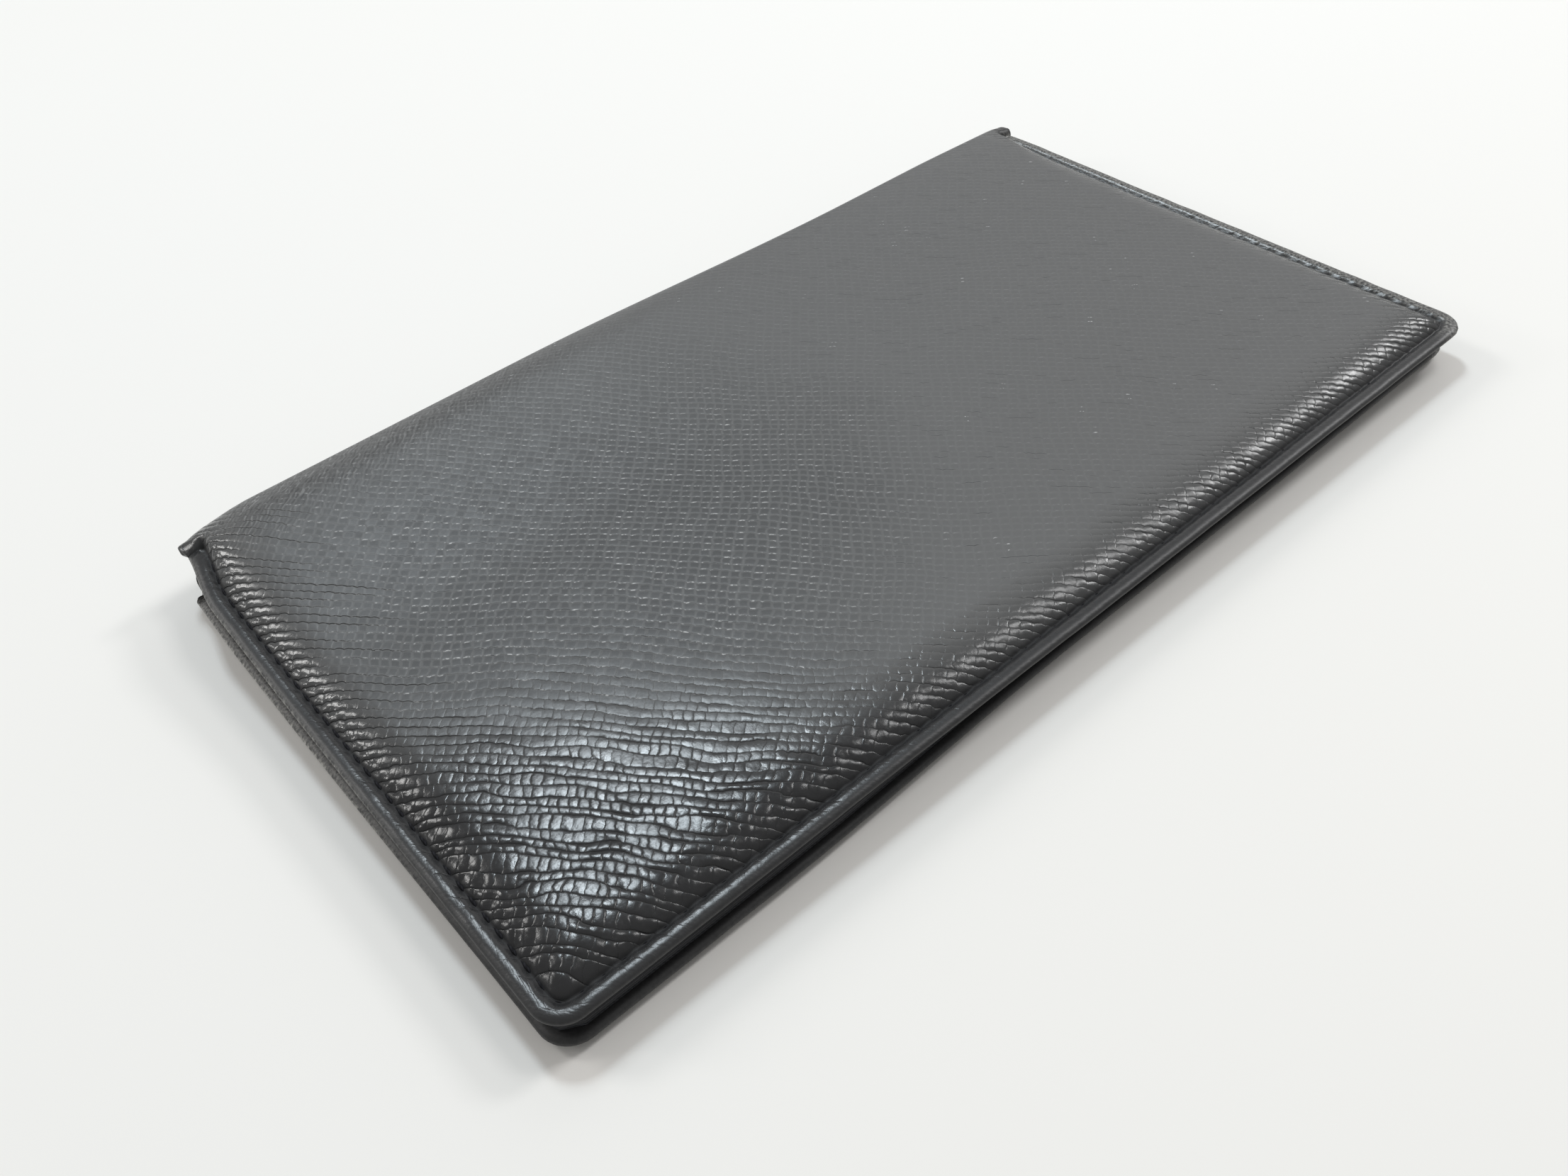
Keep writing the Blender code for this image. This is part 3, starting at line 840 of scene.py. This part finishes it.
        # Section carried along it, with the ear's lobe, waist, droop and cleft
        lobe = np.exp(-(((along - flat) / (1.9 * MM)) ** 4))
        out = np.maximum(both_ends(rise, 0.0), 0.1 * MM - radius) + tip * lobe * 0.8 * sizes.ear_rise
        y = flat_y + radius * (np.sin(angle) - np.sin(tilt)) * (turned > 0.0) + bow + out * np.sin(angle)
        y = y + (radius * np.sin(tilt) + 1.0 * MM * full * past) * ease(turned, 0.0, 1.0)
        z = leaf.plateau + lift * past + out * np.cos(angle) - drop
        z = z - radius * (np.cos(tilt) * past + 1.0 - past - np.cos(angle)) * (turned > 0.0)
        waist = 0.1 * MM + 0.7 * MM * fall(along, 0.3 * MM, 2.2 * MM)
        waist = waist + 1.3 * MM * ease(drop, 0.6 * MM, 3.0 * MM)
        x = x + draw_in(leaf, x) - np.sign(x) * tip * waist
        blend = ease(along, 0.0, 1.1 * MM + 1.9 * MM * tip)[..., None]
        self.fold_points = first * (1 - blend) + np.stack([x, y, z], axis=-1) * blend
        wrap = 0.1 + 0.9 * both_ends(ease(np.arange(len(inset)), HEM_STEPS, HEM_STEPS + ROLL_STEPS), 1.0)
        droop = wrap * past * 0.7 * MM * ease(along, 0.4 * MM, 2.4 * MM)
        self.fold_points[..., 2] -= tip * (droop + 0.40 * MM * bell(along - CLEFT, CLEFT_WIDTH))
        self.fold_points[0] = first
        self.fold_lean = fall(along, rolled, rolled + 2 * MM)
        flat_x = np.concatenate([self.border_flat[:, 0, 0], middle, self.border_flat[::-1, -1, 0]])
        self.fold_flat = np.stack(np.broadcast_arrays(flat_x, along - sizes.notch), axis=-1)
        self.fold_inset = both_ends(inset, sizes.shoulder)

    def worn(self, x, y, inset, sewn):
        """Where the hide is rubbed pale along the spine, in lines along the short edges that are partly wear
        and partly a painted highlight, and where painted sheen and haze lighten the far end's turned edge.
        """
        leaf, seam = self.leaf, self.leaf.sizes.seam
        far = leaf.far(x)
        lip = fall(inset, seam - 0.9 * MM, seam - 0.2 * MM)
        worn = 0.07 * ease(y, -7 * MM, 2 * MM) * fall(far, -60 * MM, 10 * MM)
        # Painted sheen: the far end's turned edge is made pale for the haze and reflection that lighten it.
        worn = np.maximum(worn, 0.45 * lip * ease(far, 78 * MM, 83 * MM) * sewn)
        row = np.arange(len(self.inset)) - HEM_STEPS
        # Pale lines along the turned short edges: partly wear, partly a painted highlight on the roll.
        if leaf.front:
            lines = 0.6 * bell(row - 6.0, 2.0)
        else:
            lines = 0.40 + 0.60 * (bell(row - 4.5, 1.0) + bell(row - 9.0, 1.0))
        count = self.border_inset.size
        lines = np.repeat(lines, self.border_inset.shape[1]) * (inset[:count] < seam - 0.6 * MM)
        short = fall(far[:count], -85.5 * MM, -83 * MM) * fall(-y[:count], 40 * MM, 80 * MM)
        worn[:count] = np.maximum(worn[:count], lines * (0.04 + 0.96 * short))
        return worn

    def values(self, x, y):
        """The values that the leather reads, as one array of amounts each."""
        leaf, sizes = self.leaf, self.leaf.sizes
        inset = np.concatenate([
            self.border_inset.ravel(),
            np.full(self.panel_flat[..., 0].size, sizes.shoulder),
            np.broadcast_to(self.fold_inset, self.fold_points.shape[:2]).ravel(),
        ])
        outside = ease(np.arange(len(self.inset)), HEM_STEPS + ROLL_STEPS / 2, HEM_STEPS + ROLL_STEPS + 4)
        top = np.ones(len(x))
        top[:self.border_inset.size] = np.repeat(outside, self.border_inset.shape[1])
        sewn = fall(y, -sizes.notch, -sizes.notch + 1 * MM)
        pinch = bell(inset - sizes.seam, 0.35 * MM) * top * sewn
        cleft = bell(y + sizes.notch - CLEFT, CLEFT_WIDTH)
        pinch = np.maximum(pinch, cleft * fall(inset, 2.0 * MM, 4.0 * MM))
        return {
            "grain": (0.35 + 0.65 * ease(inset, sizes.seam - 0.3 * MM, sizes.seam + 0.5 * MM)) * top,
            "crease": crease_of(leaf, x, y) * top,
            "pucker": pucker_of(leaf, inset) * top,
            "worn": self.worn(x, y, inset, sewn),
            "tops": tops_and_shade_of(leaf, x, y),
            "pinch": pinch * (1 - 0.6 * ease(leaf.far(x), 30 * MM, 84 * MM)),
            "brim": brim_of(leaf, x, y) * top,
            "brush": brush_of(leaf, x, y),
            "gather": gather_of(leaf, x) * top,
        }

    def build(self, name, material):
        """Join the three grids, lay them into the part's frame and name the values that the leather reads."""
        leaf = self.leaf
        grids = (self.border_points, self.panel_points, self.fold_points)
        points, faces, first = [], [], 0
        for grid, lean, turn in zip(grids, (1.0, 1.0, self.fold_lean), (-1, 1, -1)):
            points.append(leaf.lay(grid, lean).reshape(-1, 3))
            faces.append(grid_faces(*grid.shape[:2], first)[:, ::turn])
            first += grid.shape[0] * grid.shape[1]
        points, index = merge(np.concatenate(points))
        faces = index[np.concatenate(faces)]
        keep = np.array([len(set(face)) == 4 for face in faces.tolist()])
        order = np.full(len(points), -1)
        order[index[::-1]] = np.arange(len(index))[::-1]
        flats = (self.border_flat, self.panel_flat, self.fold_flat)
        flat = np.concatenate([grid.reshape(-1, 2) for grid in flats])
        obj = make_mesh(name, points, outward(points, faces[keep], leaf), material)
        set_uv(obj, "hide", (flat / HIDE_SCALE)[order])
        set_uv(obj, "rows", grain_map(leaf, *flat.T)[order])
        for value, amounts in self.values(*flat.T).items():
            set_values(obj, value, amounts[order])
        return obj


def merge(points, within=1e-6):
    """Points that coincide made one: the kept points, and each old point's place among them."""
    keys = np.round(points / within).astype(np.int64)
    _, first, index = np.unique(keys, axis=0, return_index=True, return_inverse=True)
    return points[first], index.reshape(-1)


def outward(points, faces, leaf):
    """Faces turned so that the panel's point out of the cover."""
    corner = points[faces]
    normal = np.cross(corner[:, 1] - corner[:, 0], corner[:, 2] - corner[:, 0])
    return faces if normal[:, 2].sum() * leaf.sign > 0 else faces[:, ::-1]


def thicken(obj, thickness):
    """Give a skin the leather's thickness, inward."""
    solid = obj.modifiers.new("thickness", "SOLIDIFY")
    solid.thickness = thickness
    solid.offset = -1.0
    solid.use_rim = True


class HOLDER_OT_skins(Operator):
    """Front and back leather, each bent over its crease to the middle of the spine"""

    bl_idname = "holder.skins"
    bl_label = "Leather skins"

    def execute(self, context):
        sizes = context.scene.holder_sizes
        leather = cover_leather(context.scene.holder_colours)
        for side, ends, frees in (("front", 108, 200), ("back", 84, 150)):
            leaf = Leaf(side, sizes)
            obj = Skin(leaf, ends, frees, folds=32).build(f"{side}_skin", leather)
            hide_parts(f"{side}_cover_leather")
            start = leaf.lay(np.array([0.0, -1.6 * MM, leaf.plateau]))
            end = (0.0, leaf.axis_y, leaf.axis_z - leaf.sign * HALF_SPINE * 0.55)
            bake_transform(obj)
            thicken(obj, 0.8 * sizes.leather)
            if side == "front":
                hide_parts("spine_leather")
        return {"FINISHED"}


def carried_tube(points, radius, sides):
    """Tubes along many short paths at once: paths (count, steps, 3), radius (steps,), as points and faces.

    Each ring is a circle across the path, in the plane of up and of the sideways direction.
    """
    count, steps = points.shape[:2]
    ahead = np.gradient(points, axis=1)
    ahead /= np.linalg.norm(ahead, axis=-1, keepdims=True)
    side = np.cross(ahead, np.array([0.0, 0.0, 1.0]))
    side /= np.linalg.norm(side, axis=-1, keepdims=True)
    up = np.cross(side, ahead)
    turn = np.linspace(0.0, 2 * math.pi, sides, endpoint=False)
    ring = side[..., None, :] * np.cos(turn)[:, None] + up[..., None, :] * np.sin(turn)[:, None]
    rings = points[..., None, :] + ring * radius[None, :, None, None]
    index = np.arange(count * steps * sides).reshape(count, steps, sides)
    ahead_index = np.roll(index, -1, axis=2)
    faces = np.stack([index[:, :-1], ahead_index[:, :-1], ahead_index[:, 1:], index[:, 1:]], axis=-1)
    uv = np.meshgrid(np.linspace(0.0, 1.0, steps), np.linspace(0.0, 1.0, sides), indexing="ij")
    uv = np.tile(np.stack(uv, axis=-1).reshape(-1, 2), (count, 1))
    return rings.reshape(-1, 3), faces.reshape(-1, 4), uv


def stitch_paths(line, height, sizes, sag):
    """Stitches along a line: each runs straight and dips into its holes at both ends."""
    step = np.hypot(*np.diff(line, axis=0).T)
    along = np.concatenate([[0.0], np.cumsum(step)])
    count = int(along[-1] / sizes.stitch)
    starts = (np.arange(count) + 0.5) * along[-1] / count
    spread = np.linspace(-0.43, 0.43, 9) * sizes.stitch
    spots = starts[:, None] + spread[None, :]
    x = np.interp(spots, along, line[:, 0])
    y = np.interp(spots, along, line[:, 1])
    dip = sag * (np.abs(spread) / spread.max())[None, :] ** 4
    z = height - dip + np.zeros_like(x)
    return np.stack([x, y, z], axis=-1)


class HOLDER_OT_stitches(Operator):
    """Lockstitches of the edge seams and of the pocket columns"""

    bl_idname = "holder.stitches"
    bl_label = "Stitches"

    def execute(self, context):
        sizes = context.scene.holder_sizes
        fibre = thread_fibre(context.scene.holder_colours)
        taper = np.array([0.55, 0.9, 1.0, 1.0, 1.0, 1.0, 1.0, 0.9, 0.55])
        for side in ("front", "back"):
            leaf = Leaf(side, sizes)
            steps = np.linspace(0.0, 1.0, 400)
            seam = Outline(leaf, steps, steps).at([sizes.seam])[0]
            inner = leaf.layer(2) - 0.6 * sizes.thread
            mouth = seam[seam[:, 1] < -sizes.upper_mouth - 1 * MM]
            stop = np.array([leaf.free_y + sizes.seam + 1 * MM, -sizes.upper_mouth - 1 * MM])
            low = leaf.free_y + sizes.seam
            sewn = seam[seam[:, 1] < -sizes.notch - 0.6 * MM]
            half = sizes.column / 2
            left, right = (np.stack([np.full(2, x), stop], axis=-1) for x in (-half, half))
            for part, node, line, height, dip in (
                ("seam", "seam_thread", sewn, leaf.roll_top - 0.55 * sizes.groove, 1.0),
                ("inner_seam", "inner_seam_thread", mouth, inner, -0.6),
                ("column_left", "column_thread_left", left, inner, -0.6),
                ("column_right", "column_thread_right", right, inner, -0.6),
            ):
                x, y, z = np.moveaxis(stitch_paths(line, height, sizes, dip * sizes.thread * 1.6), -1, 0)
                if part == "seam":
                    sunk = 0.10 * MM + 0.25 * MM * fall(y, low + 1 * MM, low + 6 * MM)
                    z = z + lift_of(leaf, x, y) - sunk
                paths = soft_points(leaf, x, y, z)
                points, faces, uv = carried_tube(leaf.lay(paths), sizes.thread * taper, 6)
                obj = make_mesh(f"{side}_{part}_stitches", points, faces, fibre)
                set_uv(obj, "twist", uv)
                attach(obj, f"{side}_leaf")
                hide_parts(f"{side}_{node}")
        return {"FINISHED"}


def sheet_surface(leaf, mouth, index, bead, columns):
    """A sheet cut to the leaf's inner outline: its top and bottom grids, which slab joins round the rim, and
    the rub along its mouth.

    Rows run from the free edge to the mouth. A bead thickens the mouth, and the columns swell a little
    between their stitch lines.
    """
    sizes = leaf.sizes
    u = np.linspace(-1.0, 1.0, 121)
    v = np.concatenate([np.linspace(0.0, 0.96, 60), np.linspace(0.965, 1.0, 9)])
    u, v = np.meshgrid(u, v)
    reach = sizes.length / 2 - sizes.sheet_inset
    low = leaf.free_y + sizes.sheet_inset
    radius = sizes.corner - sizes.sheet_inset
    y = low + (-mouth - low) * v
    cut = np.clip(radius - (y - low), 0.0, radius)
    pull = radius - np.sqrt(np.maximum(radius**2 - cut**2, 0.0))
    x = u * (reach - pull)
    bottom = leaf.layer(index)
    half = sizes.sheet / 2
    swell = half + bead * bell((1 - v) * (-mouth - low) - 0.6 * MM, 0.5 * MM)
    edge = np.minimum(ease(1 - np.abs(u), 0.0, 0.004), ease(v, 0.0, 0.006))
    swell = swell * (0.35 + 0.65 * np.minimum(edge, ease(1 - v, 0.0, 0.002) + 0.2))
    puff = 0.0
    if columns:
        lines = np.minimum(np.abs(x - sizes.column / 2), np.abs(x + sizes.column / 2))
        puff = 0.05 * MM * ease(lines, 0.3 * MM, 6 * MM)
    top = soft_points(leaf, x, y, bottom + half + swell - 0.02 * MM)
    under = soft_points(leaf, x, y, bottom + half - swell - puff)
    rub = bell((1 - v) * (-mouth - low), 1.5 * MM)
    return top, under, rub


def slab(top, under):
    """Points and quads of two grids joined round their rim."""
    rows, columns = top.shape[:2]
    count = rows * columns
    points = np.concatenate([top.reshape(-1, 3), under.reshape(-1, 3)])
    index = np.arange(count).reshape(rows, columns)
    rim = np.concatenate([index[0, :-1], index[:-1, -1], index[-1, :0:-1], index[:0:-1, 0]])
    ahead = np.roll(rim, -1)
    sides = np.stack([rim, rim + count, ahead + count, ahead], axis=1)
    upper = grid_faces(rows, columns)
    lower = grid_faces(rows, columns, count)[:, ::-1]
    return points, np.concatenate([upper, lower, sides])


class HOLDER_OT_inside(Operator):
    """Linings, pockets and the lining of the fold"""

    bl_idname = "holder.inside"
    bl_label = "Lining and pockets"

    def execute(self, context):
        sizes = context.scene.holder_sizes
        colours = context.scene.holder_colours
        weave, thin = lining_weave(colours), pocket_leather(colours)
        for side in ("front", "back"):
            leaf = Leaf(side, sizes)
            cuts = (
                ("lining", sizes.lining_margin, 0, 0.0, weave, "lining", False),
                ("lower_pocket", sizes.lower_mouth, 1, 0.05 * MM, thin, "pocket_leather", False),
                ("upper_pocket", sizes.upper_mouth, 2, 0.05 * MM, thin, "pocket_leather", True),
            )
            for name, mouth, index, bead, material, slot, columns in cuts:
                top, under, rub = sheet_surface(leaf, mouth, index, bead, columns)
                points, faces = slab(leaf.lay(top), leaf.lay(under))
                obj = make_mesh(f"{side}_{name}_sheet", points, faces, material)
                set_values(obj, "rub", np.concatenate([rub.ravel(), rub.ravel()]))
                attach(obj, f"{side}_leaf")
                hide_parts(f"{side}_{name}")
                flat = (sizes.length - 2 * sizes.sheet_inset, -leaf.free_y - sizes.sheet_inset - mouth)
            self.fold_lining(leaf, weave)
        return {"FINISHED"}

    def fold_lining(self, leaf, weave):
        """Lining that runs from a leaf's lining over the inside of the crease to the middle of the spine."""
        sizes = leaf.sizes
        t = np.linspace(0.0, 1.0, 24)[:, None]
        start_y, start_z = -sizes.lining_margin - 1.0 * MM, leaf.hem_bottom - 0.5 * sizes.layer_gap
        end_y, end_z = -0.75 * sizes.leather - sizes.layer_gap, -HALF_SPINE
        lift = 0.9 * MM
        y = start_y + (end_y - start_y) * np.sin(0.5 * math.pi * t)
        z = start_z + (end_z - start_z) * (1 - np.cos(0.5 * math.pi * t)) + lift * np.sin(math.pi * t) ** 2
        y = y + sizes.spine_bow * 0.9 * ease(t, 0.6, 1.0)
        reach = sizes.length / 2 - 0.8 * MM - 1.1 * MM * ease(t, 0.25, 0.55)
        x = np.linspace(-1.0, 1.0, 140)[None, :] * reach
        outer = np.stack(np.broadcast_arrays(x + draw_in(leaf, x), y, z), axis=-1)
        inner = outer - np.array([0.0, 0.10 * MM, 0.15 * MM])
        lean = fall(t, 0.4, 1.0)
        points, faces = slab(leaf.lay(outer, lean), leaf.lay(inner, lean))
        if not leaf.front:
            faces = faces[:, ::-1]
        obj = make_mesh(f"{leaf.side}_fold_lining", points, faces, weave)
        if leaf.front:
            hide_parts("spine_lining")
        begin = leaf.lay(np.array([0.0, -2.5 * MM, 0.3 * MM]))
        end = (0.0, leaf.axis_y, leaf.axis_z - leaf.sign * 1.6 * MM)
        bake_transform(obj)


class HOLDER_OT_core(Operator):
    """Finishes of the padding and the stiffeners inside the leaves"""

    bl_idname = "holder.core"
    bl_label = "Padding and stiffeners"

    def execute(self, context):
        board, foam = board_fibre(), foam_cells()
        for side in ("front", "back"):
            for node, material in ((f"{side}_stiffener", board), (f"{side}_padding", foam)):
                materials = FRAME["nodes"][node].data.materials
                materials.clear()
                materials.append(material)
        return {"FINISHED"}


PHOTO_WIDTH = 2212
FOCAL_PIXELS = 1853.7
CAMERA_SPOT = (-0.10141, -0.11911, 0.12764)
CAMERA_HEADING, CAMERA_DIP, CAMERA_ROLL = 36.14, 44.07, -6.78
SENSOR = 36.0
TABLE_REACH, TABLE_TOP = 3.0, -0.05 * MM


class HOLDER_OT_stage(Operator):
    """Pale table, soft light and the photograph's camera"""

    bl_idname = "holder.stage"
    bl_label = "Stage"

    def execute(self, context):
        scene = context.scene
        self.floor(scene)
        self.lights(scene)
        self.camera(scene)
        scene.view_settings.view_transform = "Standard"
        return {"FINISHED"}

    def floor(self, scene):
        edge = np.array([-TABLE_REACH, TABLE_REACH])
        x, y = np.meshgrid(edge, edge)
        points = np.stack([x, y, np.full_like(x, TABLE_TOP)], axis=-1).reshape(-1, 3)
        obj = make_mesh("table", points, grid_faces(2, 2), table_top(scene.holder_colours), smooth=False)

    def lights(self, scene):
        world = bpy.data.worlds.new("studio")
        world.use_nodes = True
        background = world.node_tree.nodes["Background"].inputs
        background["Color"].default_value = (1.0, 0.995, 0.98, 1.0)
        background["Strength"].default_value = 0.345
        scene.world = world
        for name, spot, width, power, tint in (
            ("back_window", (-0.616, 1.176, 1.022), 0.36, 4.3, (1.0, 0.99, 0.97)),
            ("left_strip", (-0.80, 0.80, 0.46), 0.18, 1.0, (1.0, 0.99, 0.97)),
            ("right_panel", (0.58, -0.13, 0.92), 0.24, 1.8, (1.0, 1.0, 1.0)),
            ("low_panel", (0.90, -0.15, 0.71), 0.20, 2.6, (1.0, 1.0, 1.0)),
            ("top_panel", (0.20, 0.585, 0.92), 0.14, 1.1, (0.88, 0.95, 1.0)),
            ("corner_panel", (0.15, 0.44, 0.92), 0.13, 2.5, (0.82, 0.93, 1.0)),
            ("far_wall", (1.33, 0.91, 0.84), 1.12, 1.85, (1.0, 1.0, 1.0)),
        ):
            lamp = bpy.data.lights.new(name, "AREA")
            lamp.shape = "SQUARE"
            lamp.size = width
            lamp.energy = power
            lamp.color = tint
            obj = bpy.data.objects.new(name, lamp)
            obj.location = spot
            obj.rotation_euler = (-Vector(spot)).to_track_quat("-Z", "Y").to_euler()
            scene.collection.objects.link(obj)

    def camera(self, scene):
        data = bpy.data.cameras.new("photo_camera")
        data.sensor_fit = "HORIZONTAL"
        data.sensor_width = SENSOR
        data.lens = SENSOR * FOCAL_PIXELS / PHOTO_WIDTH
        data.clip_start = 0.005
        heading, dip, roll = (math.radians(v) for v in (CAMERA_HEADING, CAMERA_DIP, CAMERA_ROLL))
        ahead = Vector((math.sin(heading) * math.cos(dip), math.cos(heading) * math.cos(dip), -math.sin(dip)))
        right = ahead.cross(Vector((0, 0, 1))).normalized()
        up = right.cross(ahead)
        right, up = (
            right * math.cos(roll) + up * math.sin(roll),
            up * math.cos(roll) - right * math.sin(roll),
        )
        obj = bpy.data.objects.new("photo_camera", data)
        turn = Matrix((right, up, -ahead)).transposed().to_4x4()
        obj.matrix_world = Matrix.Translation(CAMERA_SPOT) @ turn
        scene.collection.objects.link(obj)
        scene.camera = obj


class HOLDER_PT_panel(Panel):
    """Lists the holder's operators"""

    bl_label = "Card Holder"
    bl_idname = "HOLDER_PT_panel"
    bl_space_type = "VIEW_3D"
    bl_region_type = "UI"
    bl_category = "Card Holder"

    def draw(self, context):
        for operator in OPERATORS:
            self.layout.operator(operator.bl_idname)


OPERATORS = (HOLDER_OT_skins, HOLDER_OT_stitches, HOLDER_OT_inside, HOLDER_OT_core, HOLDER_OT_stage)
CLASSES = (HolderSizes, HolderColours, *OPERATORS, HOLDER_PT_panel)


def register():
    for cls in CLASSES:
        bpy.utils.register_class(cls)
    bpy.types.Scene.holder_sizes = PointerProperty(type=HolderSizes)
    bpy.types.Scene.holder_colours = PointerProperty(type=HolderColours)


def unregister():
    del bpy.types.Scene.holder_colours
    del bpy.types.Scene.holder_sizes
    for cls in reversed(CLASSES):
        bpy.utils.unregister_class(cls)


def main():
    register()
    bpy.ops.holder.skins()
    bpy.ops.holder.stitches()
    bpy.ops.holder.inside()
    bpy.ops.holder.core()
    bpy.ops.holder.stage()


if __name__ == "__main__":
    main()
